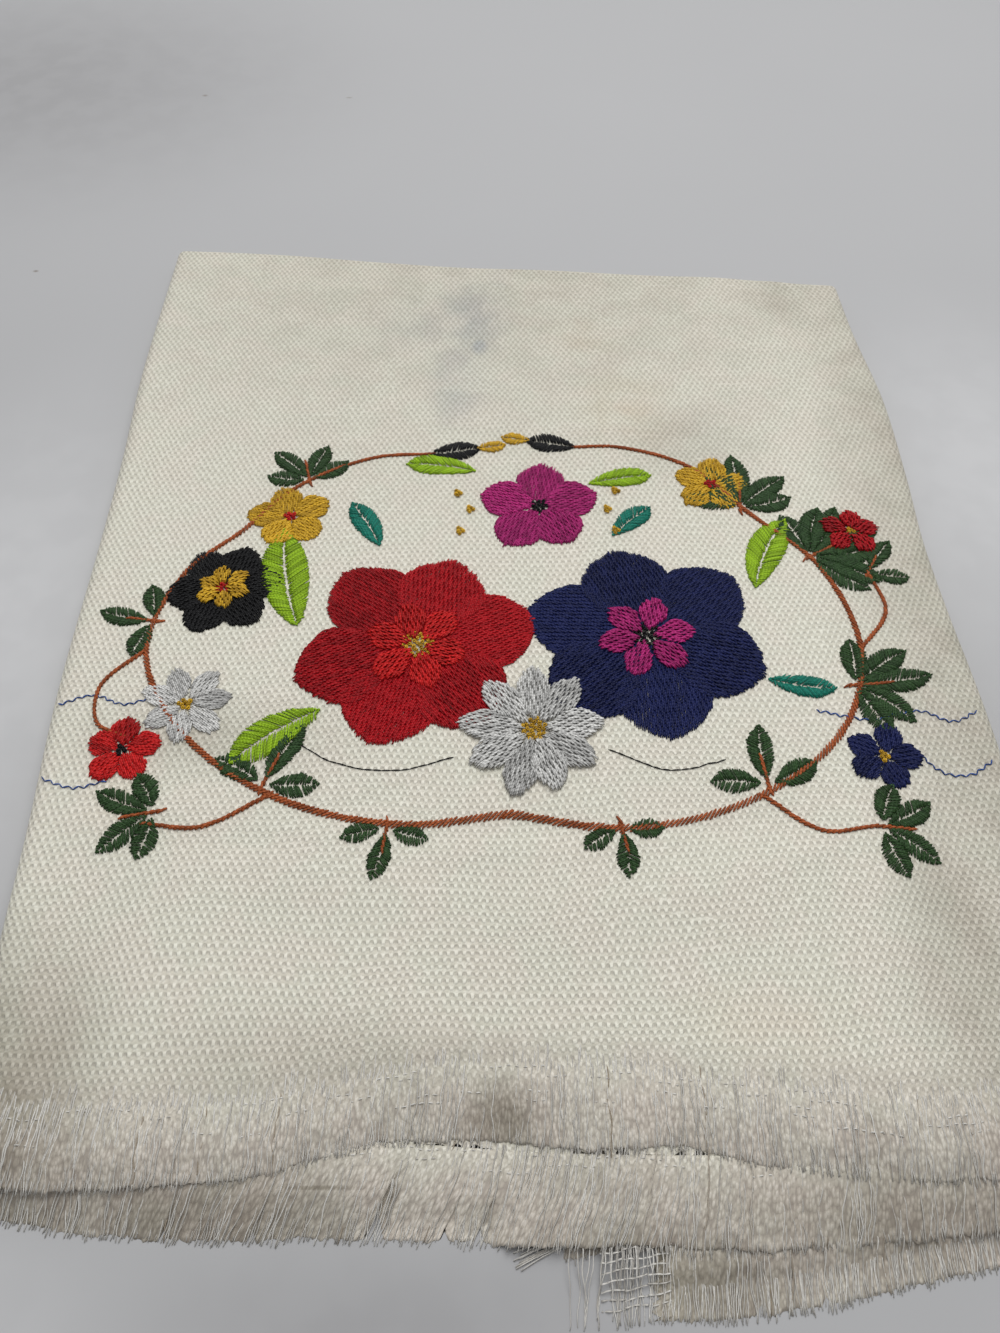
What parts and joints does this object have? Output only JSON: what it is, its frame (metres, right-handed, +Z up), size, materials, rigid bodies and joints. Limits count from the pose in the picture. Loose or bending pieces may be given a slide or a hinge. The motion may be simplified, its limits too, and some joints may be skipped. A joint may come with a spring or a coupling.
{
  "type": "embroidered table runner",
  "caption": "Ivory hopsack table runner with ravelled fringed ends and coloured embroidery, folded across and then at both sides into a flat packet.",
  "frame": {"origin": "middle of the underside of the folded packet, on the surface that it rests on", "axes": "+X to the right across the packet, +Y from the fringed ends to the fold at the back, +Z up"},
  "size_m": [0.2568, 0.3488, 0.0092],
  "materials": {
    "cloth": "ivory hopsack weave with a soft gloss",
    "fringe": "fine glossy ivory threads drawn out of the weave",
    "stitching": "glossy embroidery thread in several colours"
  },
  "bodies": {
    "root": {"runner_cloth": "cloth", "fringe_upper_middle": "fringe", "fringe_lower_middle": "fringe", "fringe_upper_left": "fringe", "fringe_lower_left": "fringe", "fringe_upper_right": "fringe", "fringe_lower_right": "fringe"}
  },
  "joints": []
}
